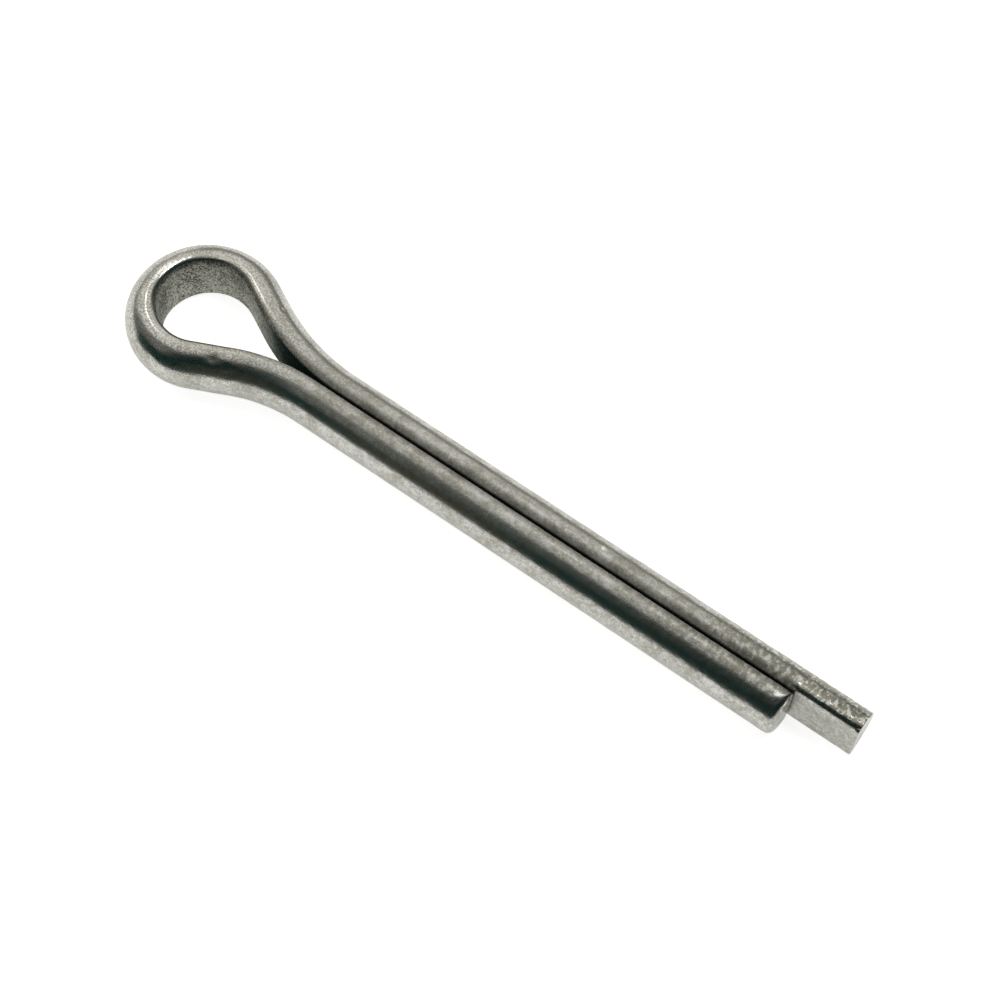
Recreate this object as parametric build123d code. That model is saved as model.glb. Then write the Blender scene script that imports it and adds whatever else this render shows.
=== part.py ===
from build123d import *

import os
from math import cos, radians, sin, sqrt, tan

# Cotter pin: one length of half-round steel wire, bent round into an eye so that its two legs lie
# flat to flat. The shank runs along +X and the eye's hole opens along +Z. The origin is on the
# shank's axis, where the straight shank begins. The short leg is on the -Y side, the long one on +Y.

# Section: the crowns of both legs lie on one cylinder, with a narrow gap between their flats
shank_diameter = 3.6
leg_gap = 0.1

# Edges of the flat: a bevel, with its angle from the flat in degrees, and the rounding on both its sides
bevel_height = 0.4
bevel_angle = 35
edge_rounding = 0.2

# Length of each leg from the start of the straight shank
short_leg_length = 27.1
long_leg_length = 30.6

# Eye, measured on the wire's flat: two arcs that meet at its far end, a little off the shank's axis
short_side_eye_radius = 2.29
long_side_eye_radius = 2.44
eye_offset = 0.09

# Flanks: the straight stretches that slant from the eye toward the shank, with angles in degrees
short_side_flank_length = 2.12
long_side_flank_length = 1.52
short_side_flank_angle = 25.5
long_side_flank_angle = 27.4

# Rounding that shearing left on the crown at the short leg's end
short_end_rounding = 0.36

shank_radius = shank_diameter / 2
flat_offset = leg_gap / 2


def side_points(side, eye_radius, flank_length, flank_angle):
    """The flank's start and end and the leg's start on one side, seen from the eye's far end."""
    angle = radians(flank_angle)
    flank_direction = Vector(cos(angle), -side * sin(angle))
    flank_start = Vector(eye_radius + eye_radius * sin(angle), side * eye_radius * cos(angle))
    flank_end = flank_start + flank_direction * flank_length
    # the neck bend leads the flank into the leg's line, with tangents of equal length on both
    height_above_leg = side * (flank_end.Y + eye_offset) - flat_offset
    neck_tangent = height_above_leg / sin(angle)
    leg_start = flank_end + flank_direction * neck_tangent + Vector(neck_tangent, 0)
    return flank_start, flank_end, leg_start


short_side = side_points(-1, short_side_eye_radius, short_side_flank_length, short_side_flank_angle)
long_side = side_points(1, long_side_eye_radius, long_side_flank_length, long_side_flank_angle)

# The long leg is the last to become straight, which sets how far the eye lies behind the origin
eye_reach = long_side[-1].X
eye_end = Vector(-eye_reach, eye_offset)
short_flank_start, short_flank_end, short_leg_start = [eye_end + point for point in short_side]
long_flank_start, long_flank_end, long_leg_start = [eye_end + point for point in long_side]
short_leg_end = Vector(short_leg_length, -flat_offset)
long_leg_end = Vector(long_leg_length, flat_offset)

# The line of the wire's flat, from the short leg's end round the eye to the long leg's end
back_along_shank = Vector(-1, 0)
across_eye_end = Vector(0, 1)
flat_line = Wire(
    [
        Line(short_leg_end, short_leg_start),
        TangentArc(short_leg_start, short_flank_end, tangent=back_along_shank),
        Line(short_flank_end, short_flank_start),
        TangentArc(short_flank_start, eye_end, tangent=short_flank_start - short_flank_end),
        TangentArc(eye_end, long_flank_start, tangent=across_eye_end),
        Line(long_flank_start, long_flank_end),
        TangentArc(long_flank_end, long_leg_start, tangent=long_flank_end - long_flank_start),
        Line(long_leg_start, long_leg_end),
    ]
)

# Half-round section: its flat is on the local Y axis, bevelled at both ends, and its crown toward +X
flat_end = sqrt(shank_radius**2 - flat_offset**2) - bevel_height
bevel_end = flat_end + shank_radius / tan(radians(bevel_angle))
crown_side = Polygon(
    (0, -flat_end), (shank_radius, -bevel_end), (shank_radius, bevel_end), (0, flat_end), align=None
)
half_round = Pos(-flat_offset, 0) * Circle(shank_radius) & crown_side
half_round = fillet(half_round.vertices(), edge_rounding)

section_plane = Plane(origin=short_leg_end, x_dir=(0, -1, 0), z_dir=back_along_shank)
bent_wire = sweep(section_plane * half_round, path=flat_line)

# The short leg's end: its crown turns over in a rounding about the shank's axis
rounding_centre = Pos(short_leg_length - short_end_rounding, shank_radius - short_end_rounding)
corner_block = Rectangle(2 * short_end_rounding, 2 * short_end_rounding, align=Align.MIN)
sheared_off = rounding_centre * (corner_block - Circle(short_end_rounding))
cotter_pin = bent_wire - revolve(Plane.XZ * sheared_off, axis=Axis.X, revolution_arc=180)

os.makedirs("parts", exist_ok=True)
export_step(cotter_pin, "parts/cotter_pin.step")
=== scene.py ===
from functools import partial
from math import atan2, ceil, cos, pi, radians, sin, sqrt, tan

import bmesh
import bpy
import numpy as np
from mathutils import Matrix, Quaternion, Vector, noise


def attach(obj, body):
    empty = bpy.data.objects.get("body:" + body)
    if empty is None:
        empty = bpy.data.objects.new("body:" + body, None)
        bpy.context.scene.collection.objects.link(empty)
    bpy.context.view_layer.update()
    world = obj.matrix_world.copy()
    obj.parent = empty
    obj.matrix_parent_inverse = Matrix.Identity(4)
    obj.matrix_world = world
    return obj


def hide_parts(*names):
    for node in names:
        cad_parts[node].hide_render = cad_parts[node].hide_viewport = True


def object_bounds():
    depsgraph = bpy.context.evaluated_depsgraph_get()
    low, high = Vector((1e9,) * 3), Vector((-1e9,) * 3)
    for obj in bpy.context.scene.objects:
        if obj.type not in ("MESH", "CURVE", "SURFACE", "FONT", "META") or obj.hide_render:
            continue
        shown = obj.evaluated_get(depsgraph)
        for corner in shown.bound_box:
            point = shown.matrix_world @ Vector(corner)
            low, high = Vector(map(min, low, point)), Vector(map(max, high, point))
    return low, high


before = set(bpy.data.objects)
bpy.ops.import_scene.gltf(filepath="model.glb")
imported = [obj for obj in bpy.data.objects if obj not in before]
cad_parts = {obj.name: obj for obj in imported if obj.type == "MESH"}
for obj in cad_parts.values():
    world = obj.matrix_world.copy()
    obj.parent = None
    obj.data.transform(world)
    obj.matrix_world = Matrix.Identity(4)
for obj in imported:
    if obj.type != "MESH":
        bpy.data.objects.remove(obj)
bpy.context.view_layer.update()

# Cotter pin: one length of half-round steel wire, bent round into an eye so that its two legs lie
# flat to flat. The shank runs along +X and the eye's hole opens along +Z. All lengths are in metres.

# Section: the crowns of both legs lie on one cylinder, with a narrow gap between their flats
shank_diameter = 0.0036
leg_gap = 0.0001

# Edges of the flat: a bevel, with its angle from the flat, and the rounding on both its sides
bevel_height = 0.0004
bevel_angle = radians(35)
edge_rounding = 0.00042

# Length of each leg from the start of the straight shank
short_leg_length = 0.0271
long_leg_length = 0.0306

# Eye, measured on the wire's flat: two arcs that meet at its far end, a little off the shank's axis
short_side_eye_radius = 0.00229
long_side_eye_radius = 0.00244
eye_offset = 0.00009

# Flanks: the straight stretches that slant from the eye toward the shank
short_side_flank_length = 0.00212
long_side_flank_length = 0.00152
short_side_flank_angle = radians(25.5)
long_side_flank_angle = radians(27.4)

# Roundings that shearing left: on the crown at the short leg's end, and on every edge of both ends
short_end_rounding = 0.00036
end_edge_rounding = 0.00005

# Between the legs: how far from the flat the painted shade and the dullness reach, and where they start
# and end in X
seam_shade_reach = 0.00007
seam_dull_reach = 0.001
seam_start = -0.0075
seam_start_length = 0.004
seam_end_length = 0.0006

# Eye's wall, darkened by painted shade: the length the eye's marks set in over, how far the wall faces
# the hole, and its looks
eye_marks_length = 0.005
eye_wall_start_share = 0.7
eye_wall_fade_share = 0.2
eye_wall_speckle_share = 0.9
eye_wall_dull_share = 0.65

# Fineness of the mesh: steps along the wire, points on half of its section, and rings on its end faces
middle_step = 0.00013
end_step = 0.00008
crown_points = 31
upper_rounding_points = 10
bevel_points = 2
lower_rounding_points = 6
flat_points = 6
end_edge_steps = 4
short_end_steps = 12
end_face_shares = (0.9, 0.7, 0.45, 0.2)

# Unevenness of the surface: waves, dimples and chatter of a tool, with size across and height of each
wave_size = 0.0009
wave_height = 0.000007
wave_seed = 3.7
dimple_size = 0.00026
dimple_height = 0.000003
dimple_seed = 11.3
chatter_pitch = 0.00022
chatter_width = 0.0004
chatter_height = 0.000018
chatter_seed = 5.9
# how far the chatter reaches from each end, and how much of it the short leg has
chatter_length = 0.012
short_leg_chatter_share = 0.4

# Nicks, dents and burrs: place on the surface, radius, and depth, below zero where a burr stands up
nicks = [
    (Vector((0.02656, -0.00071, 0.00165)), 0.00013, -0.000045),
    (Vector((0.02706, -0.00076, 0.00148)), 0.00012, -0.000045),
    (Vector((0.02923, 0.00067, 0.00167)), 0.00009, 0.000030),
    (Vector((0.02963, 0.00058, 0.00170)), 0.00009, 0.000030),
    (Vector((0.03056, 0.00013, 0.00150)), 0.00012, 0.000060),
    (Vector((0.01568, 0.00076, 0.00163)), 0.00006, 0.000020),
    (Vector((-0.00521, 0.00222, 0.00145)), 0.00013, 0.000040),
    (Vector((-0.00617, -0.00221, 0.00151)), 0.00028, 0.000040),
    (Vector((-0.00509, -0.00217, 0.00113)), 0.00022, 0.000020),
    (Vector((-0.00473, -0.00236, 0.00055)), 0.00016, 0.000020),
    (Vector((-0.00909, -0.00376, 0.00078)), 0.00018, 0.000020),
]

# Painted highlights, as bright spots: a streak inside the eye's edge, glints on burrs near the ends and
# on a nick, with radii
highlight_spots = [
    (Vector((-0.01144, -0.00045, 0.00169)), 0.00008),
    (Vector((-0.01151, -0.00015, 0.00169)), 0.00010),
    (Vector((-0.01153, 0.00017, 0.00169)), 0.00012),
    (Vector((-0.01150, 0.00048, 0.00169)), 0.00013),
    (Vector((-0.01140, 0.00080, 0.00169)), 0.00013),
    (Vector((-0.01126, 0.00107, 0.00169)), 0.00012),
    (Vector((-0.01108, 0.00144, 0.00169)), 0.00010),
    (Vector((-0.01087, 0.00174, 0.00169)), 0.00008),
    (Vector((0.02652, -0.00066, 0.00164)), 0.00018),
    (Vector((0.02712, -0.00070, 0.00146)), 0.00014),
    (Vector((0.03060, 0.00050, 0.00142)), 0.00014),
    (Vector((0.03056, 0.00085, 0.00150)), 0.00012),
    (Vector((0.01568, 0.00076, 0.00163)), 0.00012),
]

shank_radius = shank_diameter / 2
flat_offset = leg_gap / 2
full_turn = 2 * pi
quarter_turn = full_turn / 4


def side_bends(side, eye_radius, flank_length, flank_angle):
    """One side's eye arc, flank and neck bend as (length, turn), and its reach from the eye's end."""
    eye_turn = quarter_turn + flank_angle
    height_above_leg = (
        eye_radius * cos(flank_angle) - flank_length * sin(flank_angle) + side * eye_offset - flat_offset
    )
    neck_tangent = height_above_leg / sin(flank_angle)
    neck_radius = neck_tangent / tan(flank_angle / 2)
    flank_reach = (flank_length + neck_tangent) * cos(flank_angle)
    reach = eye_radius + eye_radius * sin(flank_angle) + flank_reach + neck_tangent
    eye_arc = (eye_radius * eye_turn, -eye_turn)
    flank = (flank_length, 0)
    neck_bend = (neck_radius * flank_angle, flank_angle)
    return [eye_arc, flank, neck_bend], reach


def flat_line():
    """Points along the wire's flat, short leg's end first: distance, place in X and Y, and heading."""
    short_bends, short_reach = side_bends(
        -1, short_side_eye_radius, short_side_flank_length, short_side_flank_angle
    )
    long_bends, long_reach = side_bends(
        1, long_side_eye_radius, long_side_flank_length, long_side_flank_angle
    )
    short_straight = short_leg_length + long_reach - short_reach
    # the steps are finer along the ends, where the chatter is
    stretches = [
        (chatter_length, 0, end_step),
        (short_straight - chatter_length, 0, middle_step),
        *[(length, turn, middle_step) for length, turn in reversed(short_bends)],
        *[(length, turn, middle_step) for length, turn in long_bends],
        (long_leg_length - chatter_length, 0, middle_step),
        (chatter_length, 0, end_step),
    ]
    distance = 0.0
    place = np.array((short_leg_length, -flat_offset))
    heading = pi
    rows = [(distance, *place, heading)]
    for length, turn, step in stretches:
        steps = ceil(length / step)
        start = place
        for count in range(1, steps + 1):
            along = length * count / steps
            turned = turn * count / steps
            # the chord of an arc points halfway through its turn
            chord = along * np.sinc(turned / 2 / pi)
            middle_heading = heading + turned / 2
            place = start + chord * np.array((cos(middle_heading), sin(middle_heading)))
            rows.append((distance + along, *place, heading + turned))
        distance += length
        heading += turn
    return np.array(rows)


def with_edge_rows(rows):
    """Rows with more of them in the roundings of both ends, spaced evenly round each rounding."""
    length = rows[-1, 0]
    edge = end_edge_rounding * (1 - np.cos(np.linspace(0, quarter_turn, end_edge_steps + 1)))
    crown = short_end_rounding * (1 - np.cos(np.linspace(0, quarter_turn, short_end_steps + 1)))
    inner = rows[(rows[:, 0] > short_end_rounding) & (rows[:, 0] < length - end_edge_rounding)]

    def straight_rows(distances, end_row):
        end_distance, *place, heading = end_row
        shift = (distances - end_distance)[:, None] * np.array((cos(heading), sin(heading)))
        return np.column_stack([distances, place + shift, np.full(len(distances), heading)])

    first = straight_rows(np.union1d(edge, crown), rows[0])
    last = straight_rows(length - edge[::-1], rows[-1])
    return np.concatenate([first, inner, last])


def arc_points(centre, radius, start, end, count):
    """Points and normals on an arc, without its last point."""
    angles = np.linspace(start, end, count, endpoint=False)
    normals = np.stack([np.cos(angles), np.sin(angles)], axis=1)
    return np.array(centre) + radius * normals, normals


def line_points(start, end, normal, count):
    """Points and normals on a straight line, without its last point."""
    shares = np.linspace(0, 1, count, endpoint=False)[:, None]
    return start + shares * (end - start), np.tile(normal, (count, 1))


def upper_section():
    """Points and normals on the section's upper half, as outward from the flat and up, crown first."""
    flat_end = np.array((0, sqrt(shank_radius ** 2 - flat_offset ** 2) - bevel_height))
    crown_centre = np.array((-flat_offset, 0))
    bevel_way = np.array((sin(bevel_angle), cos(bevel_angle)))
    bevel_normal = np.array((-cos(bevel_angle), sin(bevel_angle)))
    bevel_facing = pi - bevel_angle

    # the lower rounding touches flat and bevel, the upper one bevel and crown
    lower_centre = flat_end + edge_rounding * np.array((1, -tan(bevel_angle / 2)))
    inside_bevel = flat_end - edge_rounding * bevel_normal - crown_centre
    along_bevel = inside_bevel @ bevel_way
    inside_crown = shank_radius - edge_rounding
    reach = sqrt(along_bevel ** 2 - inside_bevel @ inside_bevel + inside_crown ** 2) - along_bevel
    from_crown_centre = inside_bevel + reach * bevel_way
    upper_centre = crown_centre + from_crown_centre
    crown_end = atan2(from_crown_centre[1], from_crown_centre[0])

    upper_touch = upper_centre + edge_rounding * bevel_normal
    lower_touch = lower_centre + edge_rounding * bevel_normal
    flat_normal = np.array((-1, 0))
    middle = np.zeros(2)
    stretches = [
        arc_points(crown_centre, shank_radius, 0, crown_end, crown_points),
        arc_points(upper_centre, edge_rounding, crown_end, bevel_facing, upper_rounding_points),
        line_points(upper_touch, lower_touch, bevel_normal, bevel_points),
        arc_points(lower_centre, edge_rounding, bevel_facing, pi, lower_rounding_points),
        line_points(lower_centre + edge_rounding * flat_normal, middle, flat_normal, flat_points),
        ([middle], [flat_normal]),
    ]
    return [np.concatenate(kind) for kind in zip(*stretches)]


def whole_section():
    """Points and normals right round the section, whose halves mirror each other."""
    mirror = np.array((1, -1))
    return [np.concatenate([upper, upper[-2:0:-1] * mirror]) for upper in upper_section()]


def edge_inset(from_end):
    """How far the edge rounding draws the section in, near either end."""
    inside = np.clip(end_edge_rounding - from_end, 0, end_edge_rounding)
    return end_edge_rounding - np.sqrt(end_edge_rounding ** 2 - inside ** 2)


def smooth_surface(rows, sections, section_normals):
    """Points and normals of the wire without its unevenness, by row and by place round the section."""
    distance, heading = rows[:, 0], rows[:, 3]
    crownward = np.stack([-np.sin(heading), np.cos(heading)], axis=1)[:, None]
    level_points = rows[:, None, 1:3] + sections[:, :, :1] * crownward
    points = np.concatenate([level_points, sections[:, :, 1:]], axis=2)
    upward_normals = np.tile(section_normals[:, 1:], (len(rows), 1, 1))
    normals = np.concatenate([section_normals[:, :1] * crownward, upward_normals], axis=2)

    # the short leg's crown turns over about the shank's axis
    into_rounding = np.clip(short_end_rounding - distance, 0, short_end_rounding)
    rounded_rise = np.sqrt(short_end_rounding ** 2 - into_rounding ** 2)
    crown_limit = shank_radius - short_end_rounding + rounded_rise
    crown_limit = np.where(distance < short_end_rounding, crown_limit, np.inf)
    from_axis = np.linalg.norm(points[:, :, 1:], axis=2)
    points[:, :, 1:] *= np.minimum(1, crown_limit[:, None] / from_axis)[:, :, None]
    return points, normals


def smooth_step(values):
    """A smooth rise from 0 to 1 as the values go from 0 to 1."""
    share = np.clip(values, 0, 1)
    return share * share * (3 - 2 * share)


def mark_masks(rows, from_end, sections, section_normals):
    """Where the wire has painted shade on the eye's wall and in the seam, is dull, speckled and marked by
    tools, from 0 to 1 at each point.
    """
    distance, place_along = rows[:, 0], rows[:, 1]
    into_eye = smooth_step(-place_along / eye_marks_length)[:, None]
    past_eye = smooth_step((place_along - seam_start) / seam_start_length)
    in_seam = (past_eye * smooth_step((short_leg_length - place_along) / seam_end_length))[:, None]
    leg_share = np.where(distance < distance[-1] / 2, short_leg_chatter_share, 1)
    near_end = (leg_share * smooth_step(1 - from_end / chatter_length))[:, None]
    from_flat = sections[:, :, 0]
    flatward, upward = -section_normals[:, 0], section_normals[:, 1]

    eye_wall = smooth_step((flatward - eye_wall_start_share) / eye_wall_fade_share) * into_eye
    seam_dullness = smooth_step(1 - from_flat / seam_dull_reach) * in_seam
    return {
        "eye_wall": eye_wall,
        "seam_painted_shade": smooth_step(1 - from_flat / seam_shade_reach) * in_seam,
        "dull": np.maximum(eye_wall_dull_share * eye_wall, seam_dullness),
        "speckled": smooth_step(upward) * into_eye * (1 - eye_wall) + eye_wall_speckle_share * eye_wall,
        "tool_marks": smooth_step(upward) * near_end,
    }


def surface_noise(places, seed):
    """Smooth noise from -1 to 1 at each place, where places are in noise cells."""
    offset = Vector((seed, seed, seed))
    return np.array([noise.noise(Vector(place) + offset) for place in places])


def unevenness(points, distances, arounds, tool_marks):
    """Height of waves, dimples, tool marks and nicks above the smooth surface at each point."""
    height = wave_height * surface_noise(points / wave_size, wave_seed)
    height += dimple_height * surface_noise(points / dimple_size, dimple_seed)
    zeros = np.zeros_like(distances)
    ridges = np.stack([distances / chatter_pitch, arounds / chatter_width, zeros], axis=1)
    height += chatter_height * tool_marks * surface_noise(ridges, chatter_seed)
    for place, radius, depth in nicks:
        reach = np.linalg.norm(points - np.array(place), axis=1) / radius
        height -= depth * np.exp(-reach ** 2)
    return height


def painted_highlight(points):
    """How bright the painted highlight is at each point, from 0 to 1."""
    spots = []
    for place, radius in highlight_spots:
        reach = np.linalg.norm(points - np.array(place), axis=-1) / radius
        spots.append(np.exp(-reach ** 2))
    return np.max(spots, axis=0)


def end_rings(ring, shares):
    """Rings on an end face, each a share of the face's outline about its middle."""
    middle = ring.mean(axis=0)
    return [middle + share * (ring - middle) for share in shares]


def wire_faces(along, around):
    """Faces between rings and over both ends, as point numbers, and each corner's place on the wire."""
    ring_count, ring_size = len(along), len(around) - 1
    last_ring = (ring_count - 1) * ring_size
    first_centre = ring_count * ring_size
    last_centre = first_centre + 1
    faces, corner_places = [], []
    for ring in range(ring_count - 1):
        low, high = ring * ring_size, (ring + 1) * ring_size
        for spot in range(ring_size):
            after = (spot + 1) % ring_size
            faces.append((low + spot, low + after, high + after, high + spot))
            corner_places += [
                (along[ring], around[spot]),
                (along[ring], around[spot + 1]),
                (along[ring + 1], around[spot + 1]),
                (along[ring + 1], around[spot]),
            ]
    for spot in range(ring_size):
        after = (spot + 1) % ring_size
        faces.append((first_centre, after, spot))
        faces.append((last_centre, last_ring + spot, last_ring + after))
        corner_places += [(along[0], around[spot])] * 3 + [(along[-1], around[spot])] * 3
    return faces, corner_places


def wire_mesh():
    """The bent wire as one closed mesh, with its distance along and around as UV map, and its masks."""
    rows = with_edge_rows(flat_line())
    distance = rows[:, 0]
    wire_length = distance[-1]
    from_end = np.minimum(distance, wire_length - distance)

    # the section at each row, drawn in at the end edges
    section, section_normals = whole_section()
    around = np.concatenate([[0], np.cumsum(np.linalg.norm(np.diff(section, axis=0), axis=1))])
    perimeter = around[-1] + np.linalg.norm(section[0] - section[-1])
    sections = section - edge_inset(from_end)[:, None, None] * section_normals
    ring_count, ring_size = sections.shape[:2]

    points, normals = smooth_surface(rows, sections, section_normals)
    masks = mark_masks(rows, from_end, sections, section_normals)
    distances = np.repeat(distance, ring_size)
    arounds = np.tile(around, ring_count)
    heights = unevenness(points.reshape(-1, 3), distances, arounds, masks["tool_marks"].ravel())
    points += heights.reshape(ring_count, ring_size, 1) * normals
    masks["painted_highlight"] = painted_highlight(points)

    # points ring by ring, from the start's end face to the last one, and then the middles of both
    first_rings = end_rings(points[0], end_face_shares[::-1])
    last_rings = end_rings(points[-1], end_face_shares)
    rings = np.concatenate([first_rings, points, last_rings])
    centres = [rings[0].mean(axis=0), rings[-1].mean(axis=0)]
    vertices = np.concatenate([rings.reshape(-1, 3), centres])
    face_rings = len(end_face_shares)
    along = np.concatenate([np.full(face_rings, distance[0]), distance, np.full(face_rings, wire_length)])
    faces, corner_places = wire_faces(along, np.append(around, perimeter))

    mesh = bpy.data.meshes.new("cotter_pin_wire")
    mesh.from_pydata(vertices.tolist(), [], faces)
    layer = mesh.uv_layers.new(name="wire")
    layer.data.foreach_set("uv", np.array(corner_places, dtype=np.float32).ravel())
    for name, mask in masks.items():
        values = np.zeros(len(vertices), dtype=np.float32)
        values[face_rings * ring_size:][:mask.size] = mask.ravel()
        mesh.attributes.new(name, "FLOAT", "POINT").data.foreach_set("value", values)
    mesh.shade_smooth()
    mesh.update()
    return mesh


def add_node(tree, kind, inputs=None, **settings):
    """A shader node with its settings, whose inputs are numbers, colours or other nodes' outputs."""
    made = tree.nodes.new("ShaderNode" + kind)
    for name, value in settings.items():
        setattr(made, name, value)
    for name, value in (inputs or {}).items():
        if isinstance(value, bpy.types.NodeSocket):
            tree.links.new(value, made.inputs[name])
        else:
            made.inputs[name].default_value = value
    return made


def math_node(tree, operation, first, second=0):
    """The result of an operation on two numbers, or on the first alone."""
    return add_node(tree, "Math", {0: first, 1: second}, operation=operation).outputs[0]


def mix_node(tree, factor, first, second, kind="RGBA"):
    """A blend from the first colour or number to the second."""
    inputs = {"Factor": factor, "A": first, "B": second}
    return add_node(tree, "Mix", inputs, data_type=kind).outputs["Result"]


def rise_node(tree, value, start, full, shape="LINEAR"):
    """A rise from 0 to 1 as the value goes from start to full."""
    inputs = {"Value": value, "From Min": start, "From Max": full}
    return add_node(tree, "MapRange", inputs, interpolation_type=shape).outputs["Result"]


def bare_material(name):
    """A new material with only its output, and its node tree."""
    material = bpy.data.materials.new(name)
    material.use_nodes = True
    tree = material.node_tree
    tree.nodes.remove(tree.nodes["Principled BSDF"])
    return material, tree


def show_shader(tree, shader):
    """Links a shader to the material's output."""
    tree.links.new(shader.outputs[0], tree.nodes["Material Output"].inputs["Surface"])


# Steel: colours where it is stained and where it is clean, inside the eye too, where painted shade
# darkens the wall; painted shade in the seam, a painted highlight, and the gloss of each
stained_steel = (0.33, 0.32, 0.275, 1)
clean_steel = (0.55, 0.545, 0.52, 1)
grooved_steel = (0.23, 0.225, 0.185, 1)
shaded_eye_wall = (0.11, 0.11, 0.085, 1)
clean_eye_wall = (0.5, 0.5, 0.445, 1)
seam_shade_colour = (0.03, 0.045, 0.04, 1)
highlight_steel = (0.95, 0.95, 0.93, 1)
clean_edge_tint = (0.85, 0.85, 0.83, 1)
seam_shade_edge_tint = (0.4, 0.45, 0.42, 1)
clean_roughness = 0.17
stained_roughness = 0.27
dull_roughness = 0.85

# Sizes of the steel's marks, how much each counts for the stain, and depths of grain and streaks
stain_size = 0.0014
mottle_size = 0.0003
grain_size = 0.0001
cluster_size = 0.0007
stain_share = 0.3
mottle_share = 0.35
grain_share = 0.35
groove_share = 2.2
speckle_share = 1.2
clean_start_share = 0.4
clean_full_share = 0.6
groove_middle_share = 0.56
highlight_start_share = 0.6
highlight_full_share = 1.3
noise_detail = 2
grain_depth = 0.000005
streak_length = 0.0035
streak_width = 0.00009
streak_depth = 0.000002


def steel_wire_material():
    """Drawn steel with a satin, mottled and slightly pitted surface."""
    material = bpy.data.materials.new("steel_wire")
    material.use_nodes = True
    tree = material.node_tree
    shader = tree.nodes["Principled BSDF"]
    place = add_node(tree, "TexCoord").outputs["Object"]
    along_wire = add_node(tree, "UVMap", uv_map="wire").outputs["UV"]
    calculate = partial(math_node, tree)
    mixed = partial(mix_node, tree)
    rise = partial(rise_node, tree)

    def mask(name):
        return add_node(tree, "Attribute", attribute_name=name).outputs["Fac"]

    def noise_spots(vector, scale):
        inputs = {"Vector": vector, "Scale": scale, "Detail": noise_detail}
        return add_node(tree, "TexNoise", inputs).outputs["Fac"]

    def round_spots(size):
        return noise_spots(place, 1 / size)

    def long_spots(length, width):
        inputs = {0: along_wire, 1: (1 / length, 1 / width, 0)}
        stretched = add_node(tree, "VectorMath", inputs, operation="MULTIPLY").outputs[0]
        return noise_spots(stretched, 1)

    # how clean the steel is, from 0 to 1: three sizes of spots, speckle on the eye, and tool grooves
    tool_marks = mask("tool_marks")
    grain = round_spots(grain_size)
    mottle = round_spots(mottle_size)
    blend = calculate("MULTIPLY", round_spots(stain_size), stain_share)
    blend = calculate("ADD", blend, calculate("MULTIPLY", mottle, mottle_share))
    blend = calculate("ADD", blend, calculate("MULTIPLY", grain, grain_share))
    clusters = calculate("MULTIPLY", round_spots(cluster_size), mask("speckled"))
    speckle = calculate("MULTIPLY", calculate("SUBTRACT", grain, mottle), clusters)
    blend = calculate("ADD", blend, calculate("MULTIPLY", speckle, speckle_share))
    grooves = calculate("SUBTRACT", long_spots(chatter_pitch, chatter_width), groove_middle_share)
    groove_stain = calculate("MULTIPLY", calculate("MULTIPLY", grooves, tool_marks), groove_share)
    clean = rise(calculate("ADD", blend, groove_stain), clean_start_share, clean_full_share)

    # colour: plain steel, then tool marks, painted shade on the eye's wall and in the seam, and painted
    # highlights over all
    eye_wall, seam_painted_shade = mask("eye_wall"), mask("seam_painted_shade")
    steel = mixed(clean, stained_steel, clean_steel)
    steel = mixed(tool_marks, steel, mixed(clean, grooved_steel, clean_steel))
    # the eye's wall: its mottle darkened by painted shade
    steel = mixed(eye_wall, steel, mixed(clean, shaded_eye_wall, clean_eye_wall))
    # the seam: painted shade
    steel = mixed(seam_painted_shade, steel, seam_shade_colour)
    highlight = rise(calculate("ADD", mask("painted_highlight"), grain), highlight_start_share, highlight_full_share)
    steel = mixed(highlight, steel, highlight_steel)

    gloss_range = {"Value": clean, "To Min": stained_roughness, "To Max": clean_roughness}
    gloss = add_node(tree, "MapRange", gloss_range).outputs["Result"]
    roughness = mixed(mask("dull"), gloss, dull_roughness, kind="FLOAT")

    streaks = {"Height": long_spots(streak_length, streak_width), "Distance": streak_depth}
    streak_normal = add_node(tree, "Bump", streaks).outputs["Normal"]
    pits = {"Height": grain, "Distance": grain_depth, "Normal": streak_normal}
    pitted_normal = add_node(tree, "Bump", pits).outputs["Normal"]

    shader.inputs["Metallic"].default_value = 1
    tree.links.new(steel, shader.inputs["Base Color"])
    # the seam's painted shade also dims the edge tint of the reflection
    tree.links.new(mixed(seam_painted_shade, clean_edge_tint, seam_shade_edge_tint), shader.inputs["Specular Tint"])
    tree.links.new(roughness, shader.inputs["Roughness"])
    tree.links.new(pitted_normal, shader.inputs["Normal"])
    return material


# Pin: the bent wire in its steel, which is the whole object
pin = bpy.data.objects.new("bent_wire", wire_mesh())
bpy.context.scene.collection.objects.link(pin)
pin.data.materials.append(steel_wire_material())
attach(pin, "root")
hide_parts("cotter_pin")


def panel_object(name, corners, material):
    """One flat panel with four corners."""
    mesh = bpy.data.meshes.new(name)
    mesh.from_pydata(corners, [], [(0, 1, 2, 3)])
    mesh.materials.append(material)
    return bpy.data.objects.new(name, mesh)


# Floor: white to the eye and in the metal, with a soft shadow where the pin lies
floor_half_width = 10
floor_colour = (0.8, 0.8, 0.8, 1)
floor_glow = 0.8
mirrored_floor_glow = 0.62


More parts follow.
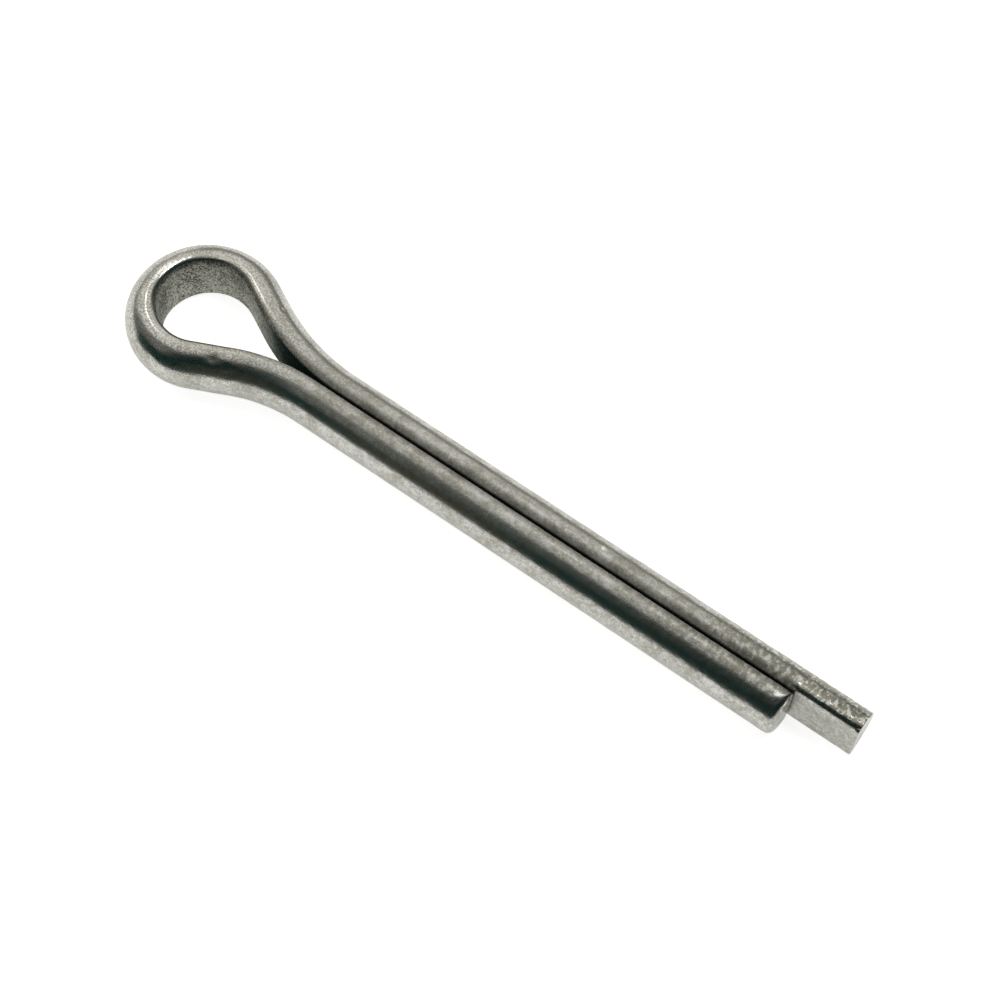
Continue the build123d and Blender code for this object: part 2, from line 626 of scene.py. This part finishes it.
def floor_material():
    """Matt white that also glows to the camera and in mirrors."""
    material, tree = bare_material("floor")
    calculate = partial(math_node, tree)
    rays = add_node(tree, "LightPath").outputs
    mirrored = calculate("MAXIMUM", rays["Is Glossy Ray"], rays["Is Transmission Ray"])
    seen_glow = calculate("MULTIPLY", rays["Is Camera Ray"], floor_glow)
    mirrored_glow = calculate("MULTIPLY", mirrored, mirrored_floor_glow)
    matt = add_node(tree, "BsdfDiffuse", {"Color": floor_colour})
    glow = add_node(tree, "Emission", {"Strength": calculate("ADD", seen_glow, mirrored_glow)})
    show_shader(tree, add_node(tree, "AddShader", {0: matt.outputs[0], 1: glow.outputs[0]}))
    material.cycles.emission_sampling = "NONE"
    return material


def floor_object(height):
    """A wide level floor at that height."""
    half = floor_half_width
    corners = [
        (-half, -half, height),
        (half, -half, height),
        (half, half, height),
        (-half, half, height),
    ]
    return panel_object("floor", corners, floor_material())


# Light tent: a dome with a bright roof panel, paler and darker walls and a dark open front by the camera
tent_radius = 0.5
tent_segments = 64
tent_dark = (0.004, 0.022, 0.02, 1)
tent_white = (1.0, 0.985, 0.94, 1)
roof_level = 1.08
full_turn_degrees = 360
# brightness of the wall by angle from +X toward +Y, in degrees from 0 to 360
wall_levels = [
    (0, 0.01),
    (60, 0.05),
    (72, 0.15),
    (82, 0.5),
    (95, 0.76),
    (150, 0.66),
    (180, 0.4),
    (200, 0.24),
    (225, 0.2),
    (245, 0.24),
    (256, 0.05),
    (275, 0),
    (360, 0.01),
]
# the wall grows darker toward the floor
wall_foot_share = 0.45
wall_foot_end = radians(18)
# edges of the roof panel, where it starts and where it is full: toward the horizon as an elevation,
# toward the camera and the tips as a distance from overhead in heights above the floor
roof_elevations = (radians(6), radians(16))
roof_camera_edge = (0.67, 0.61)
roof_tip_edge = (0.6, -0.3)
least_height_share = 0.01
front_angle = radians(-90)


def tent_material():
    """Glowing cloth whose brightness goes by direction from the middle of the floor."""
    material, tree = bare_material("light_tent")
    calculate = partial(math_node, tree)
    mixed = partial(mix_node, tree)
    soft_edge = partial(rise_node, tree, shape="SMOOTHSTEP")
    place = add_node(tree, "TexCoord").outputs["Object"]
    direction = add_node(tree, "VectorMath", {0: place}, operation="NORMALIZE").outputs[0]
    axes = add_node(tree, "SeparateXYZ", {0: direction}).outputs
    elevation = calculate("ARCSINE", axes["Z"])

    # wall: its level by the angle round the dome, and darker at its foot
    angle = calculate("ARCTAN2", axes["Y"], axes["X"])
    turns = calculate("FRACT", calculate("DIVIDE", angle, full_turn))
    ramp_node = add_node(tree, "ValToRGB", {"Fac": turns})
    ramp = ramp_node.color_ramp
    while len(ramp.elements) < len(wall_levels):
        ramp.elements.new(1)
    for element, (degrees_round, level) in zip(ramp.elements, wall_levels):
        element.position = degrees_round / full_turn_degrees
        element.color = (level, level, level, 1)
    foot_range = {"Value": elevation, "From Max": wall_foot_end, "To Min": wall_foot_share}
    foot = add_node(tree, "MapRange", foot_range).outputs["Result"]
    wall = calculate("MULTIPLY", ramp_node.outputs["Color"], foot)

    # roof: full inside its three edges
    height = calculate("MAXIMUM", axes["Z"], least_height_share)
    front = {0: direction, 1: (cos(front_angle), sin(front_angle), 0)}
    frontward = add_node(tree, "VectorMath", front, operation="DOT_PRODUCT").outputs["Value"]
    camera_edge = soft_edge(calculate("DIVIDE", frontward, height), *roof_camera_edge)
    tip_edge = soft_edge(calculate("DIVIDE", axes["X"], height), *roof_tip_edge)
    roof = calculate("MULTIPLY", soft_edge(elevation, *roof_elevations), camera_edge)
    roof = calculate("MULTIPLY", roof, tip_edge)

    brightness = mixed(roof, wall, roof_level, kind="FLOAT")
    colour = mixed(brightness, tent_dark, tent_white)
    show_shader(tree, add_node(tree, "Emission", {"Color": colour}))
    material.cycles.emission_sampling = "NONE"
    return material


def tent_object():
    """The dome over the floor, which the camera looks through."""
    shell = bmesh.new()
    rings = tent_segments // 2
    bmesh.ops.create_uvsphere(shell, u_segments=tent_segments, v_segments=rings, radius=tent_radius)
    mesh = bpy.data.meshes.new("light_tent")
    shell.to_mesh(mesh)
    shell.free()
    mesh.materials.append(tent_material())
    tent = bpy.data.objects.new("light_tent", mesh)
    tent.visible_camera = False
    return tent


# Cards: long low ones that stand on the floor along both sides of the pin, seen only in the metal
card_start = -0.03
card_end = 0.05
grey_card_place = 0.02
grey_card_height = 0.0035
grey_card_colour = (0.6, 0.6, 0.54, 1)
dark_card_place = -0.016
dark_card_height = 0.01
dark_card_colour = (0.015, 0.055, 0.05, 1)
# the dark card's olive stretch beside the neck, which blends into the rest
olive_colour = (0.11, 0.12, 0.095, 1)
olive_middle = 0.002
olive_half_width = 0.003
olive_blend_end = 0.009


def grey_card_material():
    """Matt grey card."""
    material, tree = bare_material("grey_card")
    show_shader(tree, add_node(tree, "BsdfDiffuse", {"Color": grey_card_colour}))
    return material


def dark_card_material():
    """Matt dark card with an olive stretch."""
    material, tree = bare_material("dark_card")
    spot = add_node(tree, "TexCoord").outputs["Object"]
    along = add_node(tree, "SeparateXYZ", {0: spot}).outputs["X"]
    from_middle = math_node(tree, "ABSOLUTE", math_node(tree, "SUBTRACT", along, olive_middle))
    beside = rise_node(tree, from_middle, olive_half_width, olive_blend_end)
    colour = mix_node(tree, beside, olive_colour, dark_card_colour)
    show_shader(tree, add_node(tree, "BsdfDiffuse", {"Color": colour}))
    return material


def card_object(name, place, foot, height, material):
    """A long upright card across the Y axis, which only the metal shows."""
    top = foot + height
    corners = [
        (card_start, place, foot),
        (card_end, place, foot),
        (card_end, place, top),
        (card_start, place, top),
    ]
    card = panel_object(name, corners, material)
    card.visible_camera = False
    card.visible_diffuse = False
    card.visible_shadow = False
    return card


# Stage: what stands round the pin and is no part of it, with the floor at the pin's lowest point
floor_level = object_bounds()[0].z
staged = [
    floor_object(floor_level),
    card_object("dark_card", dark_card_place, floor_level, dark_card_height, dark_card_material()),
    card_object("grey_card", grey_card_place, floor_level, grey_card_height, grey_card_material()),
    tent_object(),
]
for thing in staged:
    bpy.context.scene.collection.objects.link(thing)

# Lamps: one overhead on the long leg's side and one past the eye, with place, width, length and power
lamps = [
    ("overhead_lamp", Vector((0.105, 0.09, 0.375)), 0.07, 0.2, 0.31),
    ("eye_lamp", Vector((-0.238, 0.064, 0.315)), 0.1, 0.1, 0.07),
]

for name, place, width, length, watts in lamps:
    lamp_data = bpy.data.lights.new(name, "AREA")
    lamp_data.shape = "ELLIPSE"
    lamp_data.size = width
    lamp_data.size_y = length
    lamp_data.energy = watts
    lamp = bpy.data.objects.new(name, lamp_data)
    lamp.location = place
    lamp.rotation_mode = "QUATERNION"
    # a lamp shines along its own -Z, here toward the origin
    lamp.rotation_quaternion = place.to_track_quat("Z", "Y")
    bpy.context.scene.collection.objects.link(lamp)

# World: plain white beyond the floor
world_colour = (1, 1, 1, 1)
world = bpy.data.worlds.new("white")
world.use_nodes = True
world.node_tree.nodes["Background"].inputs["Color"].default_value = world_colour
bpy.context.scene.world = world

# Camera: from above on the short leg's side, near enough for strong perspective
camera_place = Vector((0.03775, -0.04121, 0.09824))
camera_target = Vector((0.00966, 0.00060, 0))
camera_roll = radians(2.34)
camera_lens_mm = 80.37
camera_clip_start = 0.001

camera_data = bpy.data.cameras.new("camera")
camera_data.lens = camera_lens_mm
camera_data.clip_start = camera_clip_start
camera = bpy.data.objects.new("camera", camera_data)
camera.location = camera_place
camera.rotation_mode = "QUATERNION"
level_view = (camera_target - camera_place).to_track_quat("-Z", "Y")
camera.rotation_quaternion = level_view @ Quaternion((0, 0, 1), camera_roll)
bpy.context.scene.collection.objects.link(camera)
bpy.context.scene.camera = camera
bpy.context.scene.view_settings.view_transform = "Standard"
